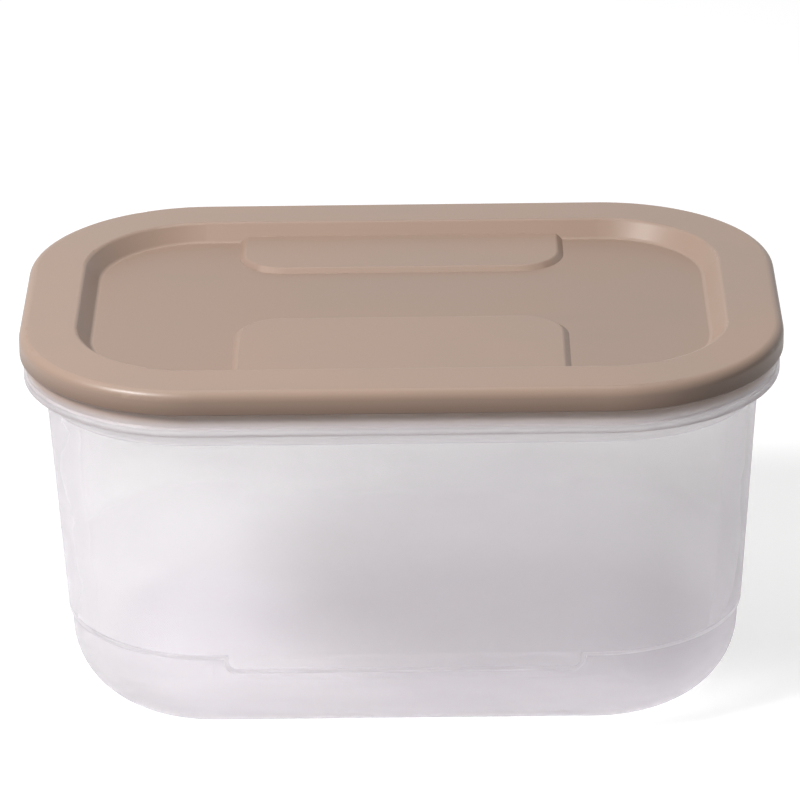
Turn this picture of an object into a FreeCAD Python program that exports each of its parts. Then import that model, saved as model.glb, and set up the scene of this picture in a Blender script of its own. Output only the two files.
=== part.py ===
import FreeCAD, Part
import os
import re
from math import pi, sin, tan
import Sketcher

# Food storage container: a hollow see-through tub and the press-on lid that shuts it.
#
# Frame: millimetres, +Z up, the long way along X, the front facing -Y, and the origin under the middle of
# the base. Every plan outline is a rounded rectangle set in from the lid's outline, so a point of a
# cross-section is (inset, height): how far inside the lid's outline it lies, and how far above the ground.

SIZES = {
    # The whole
    "lid_length": (200.0, "lid outline along X"),
    "lid_width": (134.0, "lid outline along Y"),
    "lid_corner": (46.5, "plan radius of the lid outline"),
    "overall_height": (106.0, "ground to the lip of the lid's recess"),
    # Lid
    "lid_wall": (1.3, "thickness of the lid's band and panel"),
    "skirt_wall": (1.2, "thickness of the skirt round the lid"),
    "skirt_drop": (6.6, "lip of the recess to the bottom of the skirt"),
    "skirt_round": (0.35, "rounding of the skirt's bottom edges"),
    "edge_round": (2.5, "rounding between band and skirt"),
    "band_width": (14.9, "lid outline to the lip of the recess"),
    "band_fall": (0.25, "fall of the band from the lip to the edge"),
    "recess_depth": (4.4, "lip to the recess's floor"),
    "recess_run": (3.9, "slope of the recess's wall, across"),
    "recess_round": (1.4, "rounding of the lip and of the floor's edge"),
    "seal_wall": (1.1, "thickness of the rib that plugs the tub"),
    "seal_drop": (5.0, "length of the rib below the band"),
    "seal_round": (0.4, "rounding of the rib's end"),
    # Raised pads on the recess's floor
    "pad_width": (88.5, "both pads along X, at the floor"),
    "rear_pad_reach": (23.9, "rear pad, from the floor's edge"),
    "front_pad_reach": (40.2, "front pad, from the floor's edge"),
    "pad_rise": (1.2, "height of a pad above the floor"),
    "pad_run": (1.9, "slope of a pad's edge, across"),
    "pad_corner": (12.5, "plan radius of a pad's free corners"),
    "pad_round": (1.2, "rounding of a pad's top edge"),
    "pad_rim": (4.0, "width left solid round the hollow under a pad"),
    # Tub
    "tub_wall": (1.5, "thickness of the tub's wall and floor"),
    "tub_corner": (40.1, "plan radius of the wall at the foot line"),
    "wall_inset_top": (6.3, "wall's outside at the collar's foot"),
    "wall_inset_foot": (10.0, "wall's outside at the foot line"),
    "foot_line": (25.9, "height of the step round the foot"),
    "foot_step": (0.75, "how far the foot is set in below the step"),
    "foot_radius": (20.7, "rounding between wall and base"),
    "tab_width": (94.5, "front and rear stretch where the step drops"),
    "tab_drop": (4.15, "how much lower the step is there"),
    "tab_round": (3.6, "rounding of that stretch's lower corners"),
    "base_margin": (5.0, "standing ring round the hollow of the base"),
    "base_hollow": (0.5, "depth of the hollow under the base"),
    # Collar round the tub's mouth
    "collar_show": (6.5, "collar that shows below the skirt"),
    "collar_wall": (1.5, "thickness of the collar"),
    "bead_rise": (2.3, "height of the bead round the collar's foot"),
    "bead_reach": (0.45, "how far the bead stands out of the collar"),
    "bead_round": (0.4, "rounding of the bead's lower edge"),
    "rim_round": (0.6, "rounding of the rim's edges"),
    "shoulder_radius": (4.0, "hollow bend from wall to collar, outside"),
    "shelf_radius": (4.4, "bend from wall to collar, inside"),
    # Clearances of the fit
    "skirt_gap": (0.15, "between the skirt and the collar"),
    "seal_gap": (0.15, "between the rib and the collar"),
}

OVERLAP = 1.0       # how far pieces of one body reach into each other before they are joined
EMBED = 0.2         # the same, for the pads on the lid's thin panel
PANEL_REACH = 5.0   # width of the panel's edge that is carried round with the rim
NEAR = 1e-4         # how close two places are when they count as one

# Places worked out from the sizes, as formulas for the sheet
BAND_UNDERSIDE = "(overall_height - band_fall - lid_wall)"
RECESS_FLOOR = "(overall_height - recess_depth)"
RECESS_EDGE = "(band_width + recess_run)"
RECESS_SKEW = "(lid_wall * sqrt(recess_run ^ 2 + recess_depth ^ 2) / recess_depth)"
COLLAR_INSET = "(skirt_wall + skirt_gap)"
COLLAR_FOOT = "(overall_height - skirt_drop - collar_show)"
SEAL_INSET = f"({COLLAR_INSET} + collar_wall + seal_gap)"
DRAFT = f"((wall_inset_foot - wall_inset_top) / ({COLLAR_FOOT} - foot_line))"
WALL_TOP = f"({COLLAR_FOOT} - shoulder_radius - {OVERLAP})"
WALL_TOP_INSET = f"(wall_inset_top + {DRAFT} * (shoulder_radius + {OVERLAP}))"
FOOT_INSET = "(wall_inset_foot + foot_step)"
BASE_INSET = f"({FOOT_INSET} + {DRAFT} * foot_line)"
FLAT_INSET = f"({BASE_INSET} + foot_radius)"
FOOT_OUTLINE_CORNER = "(tub_corner + wall_inset_foot)"
FLOOR_INSET = f"({FLAT_INSET} + {OVERLAP})"
PANEL_INSET = f"({RECESS_EDGE} + {PANEL_REACH})"
FLOOR_EDGE = f"(lid_width / 2 - {RECESS_EDGE})"
PAD_BACK = f"({FLOOR_EDGE} + ({RECESS_SKEW} + recess_run * pad_rise / recess_depth) / 2)"

document = FreeCAD.newDocument("food_storage_container")


def make_sheet():
    """Put every size in a spreadsheet under its alias, with what it means beside it."""
    sheet = document.addObject("Spreadsheet::Sheet", "sizes")
    for row, (alias, (number, meaning)) in enumerate(SIZES.items(), start=1):
        sheet.set(f"A{row}", meaning)
        sheet.set(f"B{row}", str(number))
        sheet.setAlias(f"B{row}", alias)
    document.recompute()
    return sheet


sizes = make_sheet()


def bound(formula):
    """Return the formula with each size's alias turned into a reference to the sheet."""
    return re.sub(r"[a-z_]+", lambda word: f"sizes.{word[0]}" if word[0] in SIZES else word[0], str(formula))


def worth(formula):
    """Return the number that the formula comes to."""
    return float(sizes.evalExpression(bound(formula)))


def new_sketch(body, name, role, offset="0"):
    """Return an empty sketch on one of the body's origin planes, moved along its normal by the offset."""
    sketch = body.newObject("Sketcher::SketchObject", name)
    plane = next(item for item in body.Origin.OriginFeatures if item.Role == role)
    sketch.AttachmentSupport = [(plane, "")]
    sketch.MapMode = "FlatFace"
    sketch.setExpression(".AttachmentOffset.Base.z", bound(offset))
    return sketch


def dimension(sketch, kind, *where, formula):
    """Add a dimension to the sketch and bind it to the sheet."""
    index = sketch.addConstraint(Sketcher.Constraint(kind, *where, worth(formula)))
    sketch.setExpression(f"Constraints[{index}]", bound(formula))


def corner_arc(before, corner, after, radius):
    """Return the arc that rounds a corner, and whether it runs from before to after."""
    back, ahead = (before - corner).normalize(), (after - corner).normalize()
    half = back.getAngle(ahead) / 2
    middle = corner + (back + ahead).normalize() * (radius / sin(half))
    starts, ends = (corner + way * (radius / tan(half)) - middle for way in (back, ahead))
    forward = starts.cross(ends).z > 0
    first, last = (starts, ends) if forward else (ends, starts)
    angles = [FreeCAD.Vector(1, 0, 0).getAngle(way) * (1 if way.y >= 0 else -1) for way in (first, last)]
    if angles[1] < angles[0]:
        angles[1] += 2 * pi
    circle = Part.Circle(middle, FreeCAD.Vector(0, 0, 1), radius)
    return Part.ArcOfCircle(circle, *angles), forward


def draw_chain(sketch, corners):
    """Draw a closed chain of lines through corners of (across, up, radius), and bind it to the sheet.

    A corner with a radius is rounded by an arc tangent to both of its lines; one without is sharp.
    """
    points = [FreeCAD.Vector(worth(across), worth(up), 0) for across, up, _ in corners]
    count = len(corners)
    starts, ends, arcs = list(points), list(points), {}
    for index, (_, _, radius) in enumerate(corners):
        if radius is None:
            continue
        before, after = points[index - 1], points[(index + 1) % count]
        arc, forward = corner_arc(before, points[index], after, worth(radius))
        edges = (arc.StartPoint, arc.EndPoint) if forward else (arc.EndPoint, arc.StartPoint)
        ends[index], starts[index] = edges
        arcs[index] = (arc, (1, 2) if forward else (2, 1))
    lines = [
        sketch.addGeometry(Part.LineSegment(starts[index], ends[(index + 1) % count]), False)
        for index in range(count)
    ]
    for index, (across, up, radius) in enumerate(corners):
        arriving, leaving = lines[index - 1], lines[index]
        if radius is None:
            sketch.addConstraint(Sketcher.Constraint("Coincident", arriving, 2, leaving, 1))
            place = (leaving, 1)
        else:
            arc, (near, far) = arcs[index]
            bend = sketch.addGeometry(arc, False)
            place = (sketch.addGeometry(Part.Point(points[index]), True), 1)
            sketch.addConstraint([
                Sketcher.Constraint("PointOnObject", *place, arriving),
                Sketcher.Constraint("PointOnObject", *place, leaving),
                Sketcher.Constraint("Tangent", arriving, 2, bend, near),
                Sketcher.Constraint("Tangent", bend, far, leaving, 1),
            ])
            dimension(sketch, "Radius", bend, formula=radius)
        dimension(sketch, "DistanceX", -1, 1, *place, formula=across)
        dimension(sketch, "DistanceY", -1, 1, *place, formula=up)
    return sketch


def plan(body, name, inset, corner, height="0"):
    """Draw the lid's outline set in by inset, with its own corner radius, starting mid-front."""
    half_length, half_width = f"(lid_length / 2 - {inset})", f"(lid_width / 2 - {inset})"
    return draw_chain(new_sketch(body, name, "XY_Plane", height), [
        ("0", f"-{half_width}", None),
        (half_length, f"-{half_width}", corner),
        (half_length, half_width, corner),
        (f"-{half_length}", half_width, corner),
        (f"-{half_length}", f"-{half_width}", corner),
    ])


def section(body, name, corners):
    """Draw a cross-section of the front side through corners of (inset, height, radius)."""
    across = [(f"({inset}) - lid_width / 2", height, radius) for inset, height, radius in corners]
    return draw_chain(new_sketch(body, name, "YZ_Plane"), across)


def ring(body, name, path, profile):
    """Carry a cross-section all the way round a plan outline."""
    feature = body.newObject("PartDesign::AdditivePipe", name)
    feature.Profile = profile
    feature.Spine = path
    feature.Mode = "Binormal"
    feature.Binormal = FreeCAD.Vector(0, 0, 1)
    return feature


def plate(body, name, outline, thickness):
    """Thicken an outline upwards."""
    feature = body.newObject("PartDesign::Pad", name)
    feature.Profile = outline
    feature.setExpression("Length", bound(thickness))
    return feature


def straight_loft(body, name, kind, lower, upper):
    """Join two outlines by straight lines, as added or as removed material."""
    feature = body.newObject(f"PartDesign::{kind}Loft", name)
    feature.Profile = lower
    feature.Sections = [upper]
    feature.Ruled = True
    return feature


def pocket(body, name, outline, depth, upwards):
    """Cut an outline's shape to a depth, and check that it took material away."""
    before = body.Shape.Volume
    feature = body.newObject("PartDesign::Pocket", name)
    feature.Profile = outline
    feature.Reversed = upwards
    feature.setExpression("Length", bound(depth))
    document.recompute()
    if feature.Shape.Volume >= before:
        raise RuntimeError(f"{name} cuts nothing")
    return feature


def round_edges(body, name, radius, wanted):
    """Round the edges of the body's tip that the test picks out."""
    document.recompute()
    base = body.Tip
    names = [f"Edge{index}" for index, edge in enumerate(base.Shape.Edges, start=1) if wanted(edge)]
    feature = body.newObject("PartDesign::Fillet", name)
    feature.Base = (base, names)
    feature.setExpression("Radius", bound(radius))
    return feature


def pad_outline(body, name, side, reach, inset, height):
    """Draw a pad's outline at a height, set in by inset from its foot, its back in the recess's wall.

    side is empty for the rear pad and a minus sign for the front one.
    """
    half = f"(pad_width / 2 - {inset})"
    free = f"{side}({FLOOR_EDGE} - {reach} + {inset})"
    corner = f"(pad_corner - {inset})"
    back = f"{side}{PAD_BACK}"
    return draw_chain(new_sketch(body, name, "XY_Plane", height), [
        (f"-{half}", back, None),
        (f"-{half}", free, corner),
        (half, free, corner),
        (half, back, None),
    ])


def add_pad(body, name, side, reach):
    """Raise a pad with sloped edges on the recess's floor, reaching back into the recess's wall."""
    foot = pad_outline(body, f"{name}_foot", side, reach, "0", f"{RECESS_FLOOR} - {EMBED}")
    top = pad_outline(body, f"{name}_top", side, reach, "pad_run", f"{RECESS_FLOOR} + pad_rise")
    straight_loft(body, name, "Additive", foot, top)


def pad_hollow(body, name, side, reach):
    """Hollow out the underside of a pad, so that the panel stays about as thick everywhere."""
    half = "(pad_width / 2 - pad_rim)"
    free, back = f"{side}({FLOOR_EDGE} - {reach} + pad_rim)", f"{side}({FLOOR_EDGE} - pad_rim)"
    outline = draw_chain(new_sketch(body, f"{name}_outline", "XY_Plane", f"{RECESS_FLOOR} - lid_wall"), [
        (f"-{half}", back, None),
        (f"-{half}", free, "pad_corner - pad_rim"),
        (half, free, "pad_corner - pad_rim"),
        (half, back, None),
    ])
    pocket(body, name, outline, "pad_rise", upwards=True)


def make_lid():
    """Build the lid: a sunk panel with two raised pads, a flat band round it, a skirt and a sealing rib."""
    body = document.addObject("PartDesign::Body", "lid")
    height = f"{RECESS_FLOOR} - lid_wall"
    inset = f"({PANEL_INSET} - {OVERLAP})"
    plate(body, "panel", plan(body, "panel_outline", inset, f"(lid_corner - {inset})", height), "lid_wall")
    add_pad(body, "rear_pad", "", "rear_pad_reach")
    add_pad(body, "front_pad", "-", "front_pad_reach")
    top, back = worth(f"{RECESS_FLOOR} + pad_rise"), worth(PAD_BACK)

    def on_pad_edge(edge):
        level = all(abs(end.Z - top) < NEAR for end in edge.Vertexes)
        return level and any(abs(end.Y) < back - NEAR for end in edge.Vertexes)

    round_edges(body, "pad_edges", "pad_round", on_pad_edge)
    profile = section(body, "rim_profile", [
        (PANEL_INSET, RECESS_FLOOR, None),
        (RECESS_EDGE, RECESS_FLOOR, "recess_round"),
        ("band_width", "overall_height", "recess_round"),
        ("0", "overall_height - band_fall", "edge_round"),
        ("0", "overall_height - skirt_drop", "skirt_round"),
        ("skirt_wall", "overall_height - skirt_drop", "skirt_round"),
        ("skirt_wall", BAND_UNDERSIDE, None),
        (SEAL_INSET, BAND_UNDERSIDE, None),
        (SEAL_INSET, f"{BAND_UNDERSIDE} - seal_drop", "seal_round"),
        (f"{SEAL_INSET} + seal_wall", f"{BAND_UNDERSIDE} - seal_drop", "seal_round"),
        (f"{SEAL_INSET} + seal_wall", BAND_UNDERSIDE, "seal_round"),
        (
            f"band_width + recess_run * (band_fall + lid_wall) / recess_depth - {RECESS_SKEW}",
            BAND_UNDERSIDE,
            None,
        ),
        (
            f"band_width + recess_run * (recess_depth + lid_wall) / recess_depth - {RECESS_SKEW}",
            f"{RECESS_FLOOR} - lid_wall",
            "recess_round + lid_wall",
        ),
        (PANEL_INSET, f"{RECESS_FLOOR} - lid_wall", None),
    ])
    ring(body, "rim", plan(body, "lid_outline", "0", "lid_corner"), profile)
    document.recompute()
    pad_hollow(body, "rear_hollow", "", "rear_pad_reach")
    pad_hollow(body, "front_hollow", "-", "front_pad_reach")
    return body


def foot_profile(body):
    """Draw the bowl-shaped foot: the standing ring, the bend and the wall up to the foot line."""
    above = f"(foot_line + {OVERLAP})"
    inner = f"({FOOT_INSET} + tub_wall)"
    return section(body, "foot_profile", [
        (f"{FLOOR_INSET} + {OVERLAP}", "0", None),
        (BASE_INSET, "0", "foot_radius"),
        (f"{FOOT_INSET} - {DRAFT} * {OVERLAP}", above, None),
        (f"{FOOT_INSET} + tub_wall / 3", above, None),
        (f"{inner} + {DRAFT} * {OVERLAP}", f"foot_line - {OVERLAP}", None),
        (f"{BASE_INSET} + tub_wall - {DRAFT} * tub_wall", "tub_wall", "foot_radius - tub_wall"),
        (f"{FLOOR_INSET} + {OVERLAP}", "tub_wall", None),
    ])


def collar_profile(body):
    """Draw the collar: the bend out of the wall, the bead round its foot and the rim that the lid grips."""
    bead_inset = f"({COLLAR_INSET} - bead_reach)"
    inner = f"({COLLAR_INSET} + collar_wall)"
    return section(body, "collar_profile", [
        (WALL_TOP_INSET, WALL_TOP, None),
        ("wall_inset_top", COLLAR_FOOT, "shoulder_radius"),
        (bead_inset, COLLAR_FOOT, "bead_round"),
        (bead_inset, f"{COLLAR_FOOT} + bead_rise", None),
        (COLLAR_INSET, f"{COLLAR_FOOT} + bead_rise + bead_reach", None),
        (COLLAR_INSET, BAND_UNDERSIDE, "rim_round"),
        (inner, BAND_UNDERSIDE, "rim_round"),
        (inner, f"{COLLAR_FOOT} + tub_wall", None),
        ("wall_inset_top + tub_wall", f"{COLLAR_FOOT} + tub_wall", "shelf_radius"),
        (f"{WALL_TOP_INSET} + tub_wall", WALL_TOP, None),
    ])


def make_tub():
    """Build the tub: a flat floor, a bowl-shaped foot, a leaning wall with even corners, and a collar."""
    body = document.addObject("PartDesign::Body", "tub")
    top_corner = f"(lid_corner - {WALL_TOP_INSET})"
    outside = [
        plan(body, "wall_outside_foot", "wall_inset_foot", "tub_corner", "foot_line"),
        plan(body, "wall_outside_top", WALL_TOP_INSET, top_corner, WALL_TOP),
    ]
    inside = [
        plan(body, "wall_inside_foot", "(wall_inset_foot + tub_wall)", "tub_corner - tub_wall", "foot_line"),
        plan(body, "wall_inside_top", f"({WALL_TOP_INSET} + tub_wall)", f"{top_corner} - tub_wall", WALL_TOP),
    ]
    straight_loft(body, "wall", "Additive", *outside)
    straight_loft(body, "wall_inside", "Subtractive", *inside)
    ring(body, "collar", plan(body, "collar_outline", "0", "lid_corner"), collar_profile(body))
    ring(body, "foot", plan(body, "foot_outline", "0", FOOT_OUTLINE_CORNER), foot_profile(body))
    floor_corner = f"({FOOT_OUTLINE_CORNER} - {FLOOR_INSET})"
    plate(body, "floor", plan(body, "floor_outline", FLOOR_INSET, floor_corner), "tub_wall")
    hollow_inset = f"({FLAT_INSET} + base_margin)"
    hollow_corner = f"({FOOT_OUTLINE_CORNER} - {hollow_inset})"
    document.recompute()
    base_outline = plan(body, "base_outline", hollow_inset, hollow_corner)
    pocket(body, "base_underside", base_outline, "base_hollow", True)

    tab_foot = "(foot_line - tab_drop)"
    tab_profile = section(body, "tab_profile", [
        ("wall_inset_foot", "foot_line", None),
        (f"wall_inset_foot + {DRAFT} * tab_drop", tab_foot, None),
        (f"{FOOT_INSET} + {DRAFT} * tab_drop + tub_wall / 2", tab_foot, None),
        (f"{FOOT_INSET} + tub_wall / 2", "foot_line", None),
    ])
    tab = plate(body, "foot_tab", tab_profile, "tab_width")
    tab.SideType = "Symmetric"
    both = body.newObject("PartDesign::Mirrored", "foot_tabs")
    both.Originals = [tab]
    both.MirrorPlane = (next(item for item in body.Origin.OriginFeatures if item.Role == "XZ_Plane"), [""])
    body.Tip = both
    level, end = worth(tab_foot), worth("tab_width / 2")

    def on_tab_corner(edge):
        middle = edge.CenterOfMass
        return abs(abs(middle.x) - end) < NEAR and abs(middle.z - level) < NEAR

    round_edges(body, "tab_corners", "tab_round", on_tab_corner)
    return body


def check(bodies):
    """Stop if any object failed or any sub-part isn't one valid solid."""
    document.recompute()
    failed = [item.Name for item in document.Objects if {"Invalid", "Error"} & set(item.State)]
    if failed:
        raise RuntimeError(f"these objects failed: {failed}")
    for body in bodies:
        shape = body.Shape
        if shape.isNull() or not shape.isValid() or len(shape.Solids) != 1:
            raise RuntimeError(f"{body.Label} isn't one valid solid")


parts = [make_tub(), make_lid()]
check(parts)
os.makedirs("parts", exist_ok=True)
for part in parts:
    part.Shape.exportStep(f"parts/{part.Label}.step")
    print(f"{part.Label}: {part.Shape.Volume / 1000:.1f} cm3, {len(part.Shape.Faces)} faces")
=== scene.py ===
"""A food storage container: a frosted tub shut by a press-on lid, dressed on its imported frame."""

import logging
import math
from dataclasses import dataclass
from enum import Enum

import bpy
from mathutils import Matrix, Vector


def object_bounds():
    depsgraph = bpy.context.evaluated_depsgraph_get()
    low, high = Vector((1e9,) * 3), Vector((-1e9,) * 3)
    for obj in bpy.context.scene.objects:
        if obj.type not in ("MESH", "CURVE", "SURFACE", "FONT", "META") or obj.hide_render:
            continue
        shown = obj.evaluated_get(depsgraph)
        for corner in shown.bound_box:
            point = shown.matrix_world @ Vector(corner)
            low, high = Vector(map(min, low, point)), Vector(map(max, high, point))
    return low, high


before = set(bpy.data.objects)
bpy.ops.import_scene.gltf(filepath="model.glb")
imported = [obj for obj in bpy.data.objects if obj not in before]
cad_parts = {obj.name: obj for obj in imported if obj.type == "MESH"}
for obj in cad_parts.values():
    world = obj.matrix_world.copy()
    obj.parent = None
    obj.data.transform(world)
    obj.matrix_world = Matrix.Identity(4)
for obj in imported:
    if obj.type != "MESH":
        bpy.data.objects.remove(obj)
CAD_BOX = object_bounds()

LOG = logging.getLogger("container")
MM = 0.001

Colour = tuple[float, float, float]
Point = tuple[float, float, float]
WHITE: Colour = (1.0, 1.0, 1.0)


class Ray(Enum):
    """The kinds of ray that a surface can answer in its own way, by their Light Path outputs."""

    CAMERA = "Is Camera Ray"
    GLOSSY = "Is Glossy Ray"
    THROUGH = "Is Transmission Ray"
    SHADOW = "Is Shadow Ray"


class Term:
    """A number that a shader works out, so that shader maths reads as a Python expression."""

    def __init__(self, shading: "Shading", socket: bpy.types.NodeSocket) -> None:
        """Wrap an output socket of one material's tree."""
        self.shading = shading
        self.socket = socket

    def join(self, operation: str, first: "Term | float", second: "Term | float") -> "Term":
        """Add one Math node.

        Args:
            operation: the node's operation.
            first: its first value.
            second: its second value.

        Returns:
            The node's result.
        """
        made = self.shading.node("ShaderNodeMath", {"operation": operation}, {0: first, 1: second})
        return Term(self.shading, made.outputs[0])

    def __add__(self, other: "Term | float") -> "Term":
        """Return self + other."""
        return self.join("ADD", self, other)

    def __radd__(self, other: "Term | float") -> "Term":
        """Return other + self."""
        return self.join("ADD", other, self)

    def __sub__(self, other: "Term | float") -> "Term":
        """Return self - other."""
        return self.join("SUBTRACT", self, other)

    def __rsub__(self, other: "Term | float") -> "Term":
        """Return other - self."""
        return self.join("SUBTRACT", other, self)

    def __mul__(self, other: "Term | float") -> "Term":
        """Return self * other."""
        return self.join("MULTIPLY", self, other)

    def __rmul__(self, other: "Term | float") -> "Term":
        """Return other * self."""
        return self.join("MULTIPLY", other, self)

    def __pow__(self, other: "Term | float") -> "Term":
        """Return self to the power of other."""
        return self.join("POWER", self, other)

    def __abs__(self) -> "Term":
        """Return self without its sign."""
        return self.join("ABSOLUTE", self, 0.0)

    def most(self, other: "Term | float") -> "Term":
        """Return the larger of self and other."""
        return self.join("MAXIMUM", self, other)

    def least(self, other: "Term | float") -> "Term":
        """Return the smaller of self and other."""
        return self.join("MINIMUM", self, other)

    def ramp(self, low: float, high: float) -> "Term":
        """Rise smoothly from 0 to 1.

        Args:
            low: the value of self where the rise starts.
            high: the value of self where it ends.

        Returns:
            0 below low, 1 above high, and a smooth step between.
        """
        settings = {"interpolation_type": "SMOOTHSTEP"}
        inputs = {"Value": self, "From Min": low, "From Max": high}
        made = self.shading.node("ShaderNodeMapRange", settings, inputs)
        return Term(self.shading, made.outputs["Result"])

    def band(self, low: float, high: float, fade: float) -> "Term":
        """Mark a stretch of values.

        Args:
            low: the value of self where the stretch starts.
            high: the value of self where it ends.
            fade: the width of the smooth step at each end.

        Returns:
            1 between low and high and 0 outside them.
        """
        starts = self.ramp(low - fade / 2, low + fade / 2)
        ends = self.ramp(high - fade / 2, high + fade / 2)
        return starts * (1.0 - ends)


class Shading:
    """The node tree of one material or of the world."""

    SIDE_FADE = 0.05
    SLANT_BLEND = 0.5

    def __init__(self, tree: bpy.types.NodeTree) -> None:
        """Start from an empty tree."""
        tree.nodes.clear()
        self.tree = tree

    def node(
        self, kind: str, settings: dict | None = None, inputs: dict | None = None
    ) -> bpy.types.Node:
        """Add one node of any type.

        Args:
            kind: the node's type.
            settings: its settings by name, set before its sockets.
            inputs: what its sockets get, by identifier, name or place: a number, a colour, a
                socket or a Term.

        Returns:
            The node.
        """
        made = self.tree.nodes.new(kind)
        for name, value in (settings or {}).items():
            setattr(made, name, value)
        by_identifier = {socket.identifier: socket for socket in made.inputs}
        for name, value in (inputs or {}).items():
            socket = by_identifier.get(name) or made.inputs[name]
            value = value.socket if isinstance(value, Term) else value
            if isinstance(value, bpy.types.NodeSocket):
                self.tree.links.new(value, socket)
            elif socket.type == "RGBA":
                socket.default_value = (*value, 1.0)
            else:
                socket.default_value = value
        return made

    def blend(self, factor: Term | float, first: object, second: object) -> bpy.types.NodeSocket:
        """Mix two colours.

        Args:
            factor: the share of the second.
            first: a colour or a colour socket.
            second: a colour or a colour socket.

        Returns:
            The mixed colour.
        """
        inputs = {"Factor_Float": factor, "A_Color": first, "B_Color": second}
        made = self.node("ShaderNodeMix", {"data_type": "RGBA"}, inputs)
        return next(socket for socket in made.outputs if socket.identifier == "Result_Color")

    def place(self) -> bpy.types.NodeSocket:
        """Return the point that is shaded, in metres in the object's own frame."""
        return self.node("ShaderNodeTexCoord").outputs["Object"]

    def stretched(self, place: bpy.types.NodeSocket, scale: Point) -> bpy.types.NodeSocket:
        """Return the place scaled along each axis, so that a pattern on it is drawn out."""
        made = self.node("ShaderNodeMapping", None, {"Vector": place, "Scale": scale})
        return made.outputs["Vector"]

    def clouds(
        self, place: bpy.types.NodeSocket, size: float, detail: float = 2.0, rough: float = 0.5
    ) -> Term:
        """Add soft noise.

        Args:
            place: where it is read.
            size: about how wide one patch is, in metres.
            detail: how many finer layers lie on it.
            rough: how strong they are.

        Returns:
            A number from 0 to 1, 0.5 on average.
        """
        inputs = {"Vector": place, "Scale": 1 / size, "Detail": detail, "Roughness": rough}
        return Term(self, self.node("ShaderNodeTexNoise", None, inputs).outputs[0])

    def axis(self, place: bpy.types.NodeSocket, name: str) -> Term:
        """Return one coordinate of a place."""
        made = self.node("ShaderNodeSeparateXYZ", None, {"Vector": place})
        return Term(self, made.outputs[name])

    def bump(self, height: Term, depth: float) -> bpy.types.NodeSocket:
        """Turn a height from 0 to 1 into a normal, for relief of that depth in metres."""
        made = self.node("ShaderNodeBump", None, {"Height": height, "Distance": depth})
        return made.outputs["Normal"]

    def vector(self, operation: str, *values: bpy.types.NodeSocket | Point) -> bpy.types.Node:
        """Add one Vector Math node.

        Args:
            operation: the node's operation.
            values: the vectors that it works on.

        Returns:
            The node.
        """
        return self.node("ShaderNodeVectorMath", {"operation": operation}, dict(enumerate(values)))

    def faces_out(self, place: bpy.types.NodeSocket) -> Term:
        """Tell the outside of a hollow piece from its inside.

        Args:
            place: the point that is shaded, measured from the middle of the piece.

        Returns:
            1 on skins that turn away from the upright axis and 0 on skins that turn towards it,
            whichever side they are seen from.
        """
        level = self.vector("MULTIPLY", place, (1.0, 1.0, 0.0)).outputs["Vector"]
        away = self.vector("NORMALIZE", level).outputs["Vector"]
        skin = self.node("ShaderNodeNewGeometry")
        dot = self.vector("DOT_PRODUCT", skin.outputs["Normal"], away).outputs["Value"]
        outward = Term(self, dot) * (1.0 - Term(self, skin.outputs["Backfacing"]) * 2.0)
        return outward.ramp(-self.SIDE_FADE, self.SIDE_FADE)

    def slant(self) -> Term:
        """Return 0 where the surface is seen square on, rising to 1 where it is seen edge on."""
        made = self.node("ShaderNodeLayerWeight", None, {"Blend": self.SLANT_BLEND})
        return Term(self, made.outputs["Facing"])

    def layer(
        self, factor: Term | float, first: bpy.types.Node, second: bpy.types.Node
    ) -> bpy.types.Node:
        """Mix two shaders.

        Args:
            factor: the share of the second.
            first: a shader node.
            second: a shader node.

        Returns:
            The node that mixes them.
        """
        inputs = {0: factor, 1: first.outputs[0], 2: second.outputs[0]}
        return self.node("ShaderNodeMixShader", None, inputs)

    def ray(self, *kinds: Ray) -> Term:
        """Return 1 for the kinds of ray that are named and 0 for the rest."""
        outputs = self.node("ShaderNodeLightPath").outputs
        found = Term(self, outputs[kinds[0].value])
        for kind in kinds[1:]:
            found = found.most(Term(self, outputs[kind.value]))
        return found

    def unveiled(self) -> Term:
        """Return 1 for a ray that has gone straight through nothing yet, and 0 behind plastic."""
        passed = Term(self, self.node("ShaderNodeLightPath").outputs["Transparent Depth"])
        return 1.0 - passed.least(1.0)

    def finish(self, surface: bpy.types.Node, output: str = "ShaderNodeOutputMaterial") -> None:
        """Show this surface."""
        self.node(output, None, {"Surface": surface.outputs[0]})


def new_material(name: str) -> tuple[bpy.types.Material, Shading]:
    """Make an empty material.

    Args:
        name: what it is called.

    Returns:
        The material and its tree.
    """
    material = bpy.data.materials.new(name)
    material.use_nodes = True
    return material, Shading(material.node_tree)


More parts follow.
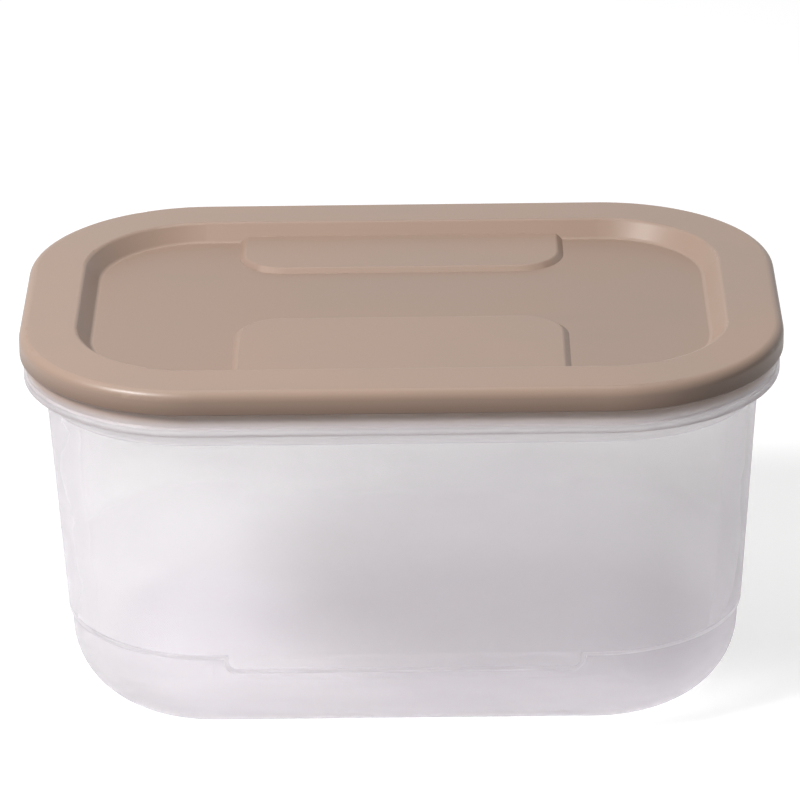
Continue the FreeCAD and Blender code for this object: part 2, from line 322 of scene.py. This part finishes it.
@dataclass(frozen=True)
class SatinPlastic:
    """Opaque moulded plastic with a satin skin: cloudy by a tone or two, with a painted shadow
    that browns the outside of the skirt towards its lower edge.
    """

    name: str
    colour: Colour
    warm: Colour
    cool: Colour
    cool_share: float = 0.6
    bend: float = 1.49
    gloss: float = 0.55
    roughness: float = 0.40
    grain_roughness: float = 0.10
    cloud_roughness: float = 0.08
    cloud: float = 55 * MM
    flow: float = 55 / 3 * MM
    flow_stretch: Point = (0.35, 1.0, 1.0)
    grain: float = 0.45 * MM
    grain_depth: float = 0.004 * MM
    # painted shadow: its colour, its share and the heights it fades over, low on the skirt's outside
    hem_shade: Colour = (0.20, 0.125, 0.090)
    hem_shade_share: float = 0.9
    hem_shade_low: float = 99.4 * MM
    hem_shade_high: float = 104.0 * MM

    def tint(
        self, shading: Shading, place: bpy.types.NodeSocket, clouds: Term
    ) -> bpy.types.NodeSocket:
        """Work out the plastic's colour, with the painted shadow low on the skirt's outside.

        Args:
            shading: the tree that it is worked out in.
            place: the point that is shaded.
            clouds: the broad clouds there.

        Returns:
            The colour.
        """
        flow = shading.clouds(shading.stretched(place, self.flow_stretch), self.flow, 3.0)
        # painted shadow: the skirt's outside darkens towards its lower edge
        hem_shade = 1.0 - shading.axis(place, "Z").ramp(self.hem_shade_low, self.hem_shade_high)
        hem_shade = hem_shade * shading.faces_out(place)
        colour = shading.blend(clouds.ramp(0.35, 0.7), self.colour, self.warm)
        colour = shading.blend(flow.ramp(0.5, 0.8) * self.cool_share, colour, self.cool)
        return shading.blend(hem_shade * self.hem_shade_share, colour, self.hem_shade)

    def material(self) -> bpy.types.Material:
        """Build the plastic as a node tree."""
        material, shading = new_material(self.name)
        place = shading.place()
        clouds = shading.clouds(place, self.cloud)
        grain = shading.clouds(place, self.grain, 3.0, 0.6)
        roughness = (grain - 0.5) * self.grain_roughness + (clouds - 0.5) * self.cloud_roughness
        plastic = shading.node("ShaderNodeBsdfPrincipled", None, {
            "Base Color": self.tint(shading, place, clouds),
            "Roughness": roughness + self.roughness,
            "IOR": self.bend,
            "Specular IOR Level": self.gloss,
            "Normal": shading.bump(grain, self.grain_depth),
        })
        shading.finish(plastic)
        return material


@dataclass(frozen=True)
class FrostedPlastic:
    """Frosted plastic: a share of the light goes through it and its milky body scatters the rest.

    The fields that end in milk say how much more of the light is scattered in one place.
    The highlight colour is a painted highlight along the foot's step and on the shoulder
    below the collar; the collar_shadow colour is a painted shadow of the lid on the collar.
    """

    name: str
    colour: Colour
    cool: Colour
    # painted shadow of the lid on the collar, in a brown as if the lid showed through
    collar_shadow: Colour
    # painted highlight colour and its share, for the foot's step and the shoulder below the collar
    line: Colour
    highlight_share: float = 0.5
    milk: float = 0.22
    cloud_milk: float = 0.05
    flow_milk: float = 0.12
    edge_milk: float = 0.20
    edge_power: float = 3.0
    foot_milk: float = 0.09
    highlight_milk: float = 0.20
    collar_shadow_milk: float = 0.5
    base_milk: float = 0.12
    glow: float = 0.66
    blur: float = 0.80
    blur_roughness: float = 0.26
    blur_bend: float = 1.11
    bend: float = 1.49
    roughness: float = 0.24
    grain_roughness: float = 0.08
    cloud: float = 60 * MM
    flow: float = 15 * MM
    flow_stretch: Point = (0.3, 0.3, 1.0)
    grain: float = 0.7 * MM
    grain_depth: float = 0.003 * MM
    base_low: float = 2.0 * MM
    base_high: float = 7.0 * MM
    step_line: float = 25.9 * MM
    step_highlight_height: float = 1.2 * MM
    step_fade: float = 0.3 * MM
    foot_fade: float = 1.0 * MM
    tab_line: float = 21.75 * MM
    tab_half: float = 47.25 * MM
    tab_round: float = 3.6 * MM
    # where the painted highlight on the shoulder below the collar lies
    shoulder_low: float = 88.4 * MM
    shoulder_high: float = 94.6 * MM
    shoulder_fade: float = 1.0 * MM
    # the painted shadow of the lid on the collar deepens from the low height up to the high one
    collar_shadow_low: float = 92.6 * MM
    collar_shadow_high: float = 98.4 * MM

    def below_step(self, shading: Shading, place: bpy.types.NodeSocket) -> Term:
        """Measure how far a point lies below the foot's step.

        Args:
            shading: the tree that it is worked out in.
            place: the point.

        Returns:
            The distance in metres, negative above the step, which drops round each finger tab.
        """
        height = shading.axis(place, "Z")
        aside = (abs(shading.axis(place, "X")) - (self.tab_half - self.tab_round)).most(0.0)
        under = (self.tab_line + self.tab_round - height).most(0.0)
        corner = (aside * aside + under * under) ** 0.5 - self.tab_round
        return corner.least(self.step_line - height)

    def see_through(self, shading: Shading) -> bpy.types.Node:
        """Build the share that lets light on: mostly blurred to look at, clear to cast shadows."""
        straight = shading.node("ShaderNodeBsdfTransparent", None, {"Color": WHITE})
        soft = shading.node("ShaderNodeBsdfPrincipled", None, {
            "Base Color": WHITE,
            "Roughness": self.blur_roughness,
            "IOR": self.blur_bend,
            "Transmission Weight": 1.0,
        })
        seen = shading.layer(self.blur, straight, soft)
        return shading.layer(shading.ray(Ray.SHADOW), seen, straight)

    def material(self) -> bpy.types.Material:
        """Build the plastic as a node tree."""
        material, shading = new_material(self.name)
        place = shading.place()
        height = shading.axis(place, "Z")
        clouds = shading.clouds(place, self.cloud)
        flow = shading.clouds(shading.stretched(place, self.flow_stretch), self.flow, 3.0)
        grain = shading.clouds(place, self.grain, 3.0, 0.6)

        below = self.below_step(shading, place)
        outside = shading.faces_out(place)
        # painted highlight bands: along the foot's step, dropping round each finger tab, and on the
        # shoulder below the collar
        step = below.band(-self.step_highlight_height, 0.0, self.step_fade)
        shoulder = height.band(self.shoulder_low, self.shoulder_high, self.shoulder_fade)
        line = step.most(shoulder) * outside
        foot = below.ramp(-self.foot_fade, self.foot_fade) * outside
        # painted shadow of the lid over the collar: darker, milkier and without glow there
        collar_shadow_mask = height.ramp(self.collar_shadow_low, self.collar_shadow_high)
        base = 1.0 - height.ramp(self.base_low, self.base_high)

        colour = shading.blend(clouds.ramp(0.3, 0.7), self.colour, self.cool)
        # the painted highlight is blended into the colour
        colour = shading.blend(line * self.highlight_share, colour, self.line)
        milk = shading.node("ShaderNodeBsdfPrincipled", None, {
            # the painted shadow of the lid is blended into the colour over the collar
            "Base Color": shading.blend(collar_shadow_mask, colour, self.collar_shadow),
            "Roughness": (grain - 0.5) * self.grain_roughness + self.roughness,
            "IOR": self.bend,
            "Normal": shading.bump(grain, self.grain_depth),
        })
        glow = shading.node("ShaderNodeBsdfTranslucent", None, {"Color": self.cool})
        # no translucent glow within the painted collar shadow
        body = shading.layer((1.0 - collar_shadow_mask) * self.glow, milk, glow)

        share = (clouds - 0.5) * self.cloud_milk + (flow - 0.5) * self.flow_milk + self.milk
        share = share + shading.slant() ** self.edge_power * self.edge_milk
        # the painted highlight is milkier too
        share = share + foot * self.foot_milk + line * self.highlight_milk
        # the painted collar shadow is also milkier, so less shows through it
        share = share + collar_shadow_mask * self.collar_shadow_milk + base * self.base_milk
        shading.finish(shading.layer(share.least(1.0), self.see_through(shading), body))
        return material


@dataclass
class Lid:
    """The press-on lid: sunk panel, raised pads, flat band and skirt."""

    node: str = "lid"
    finish: SatinPlastic = SatinPlastic(
        name="taupe_plastic",
        colour=(0.345, 0.241, 0.185),
        warm=(0.359, 0.246, 0.186),
        cool=(0.331, 0.237, 0.185),
    )

    def dress(self) -> list[bpy.types.Object]:
        """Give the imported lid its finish.

        Returns:
            The pieces that are shown.
        """
        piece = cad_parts[self.node]
        piece.data.materials.clear()
        piece.data.materials.append(self.finish.material())
        return [piece]


@dataclass
class Tub:
    """The frosted tub: bowl-shaped foot, leaning wall and the collar that the lid grips."""

    node: str = "tub"
    finish: FrostedPlastic = FrostedPlastic(
        name="frosted_plastic",
        colour=(0.912, 0.886, 0.892),
        cool=(0.880, 0.850, 0.902),
        # painted shadow of the lid on the collar
        collar_shadow=(0.37, 0.235, 0.165),
        # painted highlight colour
        line=(1.0, 0.98, 0.98),
    )

    def dress(self) -> list[bpy.types.Object]:
        """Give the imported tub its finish.

        Returns:
            The pieces that are shown.
        """
        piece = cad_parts[self.node]
        piece.data.materials.clear()
        piece.data.materials.append(self.finish.material())
        return [piece]


def towards(azimuth: float, elevation: float) -> Vector:
    """Return the direction from the container to a place round it.

    Args:
        azimuth: degrees to the right of straight in front.
        elevation: degrees above the ground.

    Returns:
        A vector of length 1.
    """
    turn, rise = math.radians(azimuth), math.radians(elevation)
    level = math.cos(rise)
    return Vector((math.sin(turn) * level, -math.cos(turn) * level, math.sin(rise)))


@dataclass(frozen=True)
class Lamp:
    """A square soft lamp, placed by degrees and metres from what it points at."""

    name: str
    azimuth: float
    elevation: float
    distance: float
    size: float
    power: float

    def hang(self, aim: Point) -> None:
        """Hang the lamp so that it points at a place."""
        light = bpy.data.lights.new(self.name, "AREA")
        light.size, light.energy = self.size, self.power
        made = bpy.data.objects.new(self.name, light)
        bpy.context.scene.collection.objects.link(made)
        away = towards(self.azimuth, self.elevation)
        made.location = Vector(aim) + away * self.distance
        made.rotation_mode = "QUATERNION"
        made.rotation_quaternion = away.to_track_quat("Z", "Y")


@dataclass
class Studio:
    """Plain white studio: camera, world, floor and lamps."""

    aim: Point = (-0.70 * MM, 0.0, 74.74 * MM)
    azimuth: float = 0.40
    elevation: float = 23.11
    roll: float = 0.80
    distance: float = 1409.8 * MM
    lens: float = 237.27
    clip_near: float = 0.05
    clip_far: float = 50.0
    sky: float = 0.11
    floor_half: float = 6.0
    floor_gap: float = 0.15 * MM
    floor_colour: Colour = (0.50, 0.50, 0.50)
    floor_white: float = 0.68
    veiled_colour: Colour = (0.80, 0.80, 0.80)
    veiled_white: float = 0.22
    floor_bounce: Colour = (0.40, 0.40, 0.405)
    lamps: tuple[Lamp, ...] = (
        Lamp("key", azimuth=-53.0, elevation=46.0, distance=1.2, size=0.24, power=14.5),
        Lamp("top", azimuth=-150.0, elevation=72.0, distance=1.6, size=1.1, power=6.6),
    )

    def camera(self) -> None:
        """Set up the camera."""
        made = bpy.data.objects.new("camera", bpy.data.cameras.new("camera"))
        bpy.context.scene.collection.objects.link(made)
        made.data.lens = self.lens
        made.data.clip_start, made.data.clip_end = self.clip_near, self.clip_far
        back = towards(self.azimuth, self.elevation)
        place = Matrix.Translation(Vector(self.aim) + back * self.distance)
        turn = back.to_track_quat("Z", "Y").to_matrix().to_4x4()
        made.matrix_world = place @ turn @ Matrix.Rotation(math.radians(-self.roll), 4, "Z")
        bpy.context.scene.camera = made

    def world(self) -> None:
        """Make the surroundings white to look at and gentle as light."""
        world = bpy.data.worlds.new("studio")
        world.use_nodes = True
        bpy.context.scene.world = world
        shading = Shading(world.node_tree)
        seen = shading.ray(Ray.CAMERA, Ray.GLOSSY, Ray.THROUGH)
        strength = seen * (1.0 - self.sky) + self.sky
        light = shading.node("ShaderNodeBackground", None, {"Color": WHITE, "Strength": strength})
        shading.finish(light, "ShaderNodeOutputWorld")

    def floor_paint(self) -> bpy.types.Material:
        """Build the floor's paint: white to look at, duller behind the frosted wall and as light."""
        material, shading = new_material("floor_paint")
        seen = shading.ray(Ray.CAMERA, Ray.GLOSSY, Ray.THROUGH)
        direct = shading.ray(Ray.CAMERA, Ray.GLOSSY) * shading.unveiled()
        colour = shading.blend(seen, self.floor_bounce, self.veiled_colour)
        colour = shading.blend(direct, colour, self.floor_colour)
        paint = shading.node("ShaderNodeBsdfDiffuse", None, {"Color": colour})
        strength = seen * self.veiled_white + direct * (self.floor_white - self.veiled_white)
        white = shading.node("ShaderNodeEmission", None, {"Strength": strength})
        inputs = {0: paint.outputs[0], 1: white.outputs[0]}
        shading.finish(shading.node("ShaderNodeAddShader", None, inputs))
        return material

    def floor(self) -> None:
        """Lay the pale floor."""
        half = self.floor_half
        level = CAD_BOX[0].z - self.floor_gap
        corners = [(x * half, y * half, level) for x, y in ((-1, -1), (1, -1), (1, 1), (-1, 1))]
        mesh = bpy.data.meshes.new("floor")
        mesh.from_pydata(corners, [], [(0, 1, 2, 3)])
        mesh.materials.append(self.floor_paint())
        made = bpy.data.objects.new("floor", mesh)
        bpy.context.scene.collection.objects.link(made)

    def build(self) -> None:
        """Set the whole studio up."""
        bpy.context.scene.view_settings.view_transform = "Standard"
        self.camera()
        self.world()
        self.floor()
        for lamp in self.lamps:
            lamp.hang(self.aim)


def main() -> None:
    """Build the studio and the container, and report each piece."""
    logging.basicConfig(level=logging.INFO, format="%(message)s")
    Studio().build()
    for assembly in (Tub(), Lid()):
        for piece in assembly.dress():
            LOG.info("%s: %d faces", piece.name, len(piece.data.polygons))


if __name__ == "__main__":
    main()
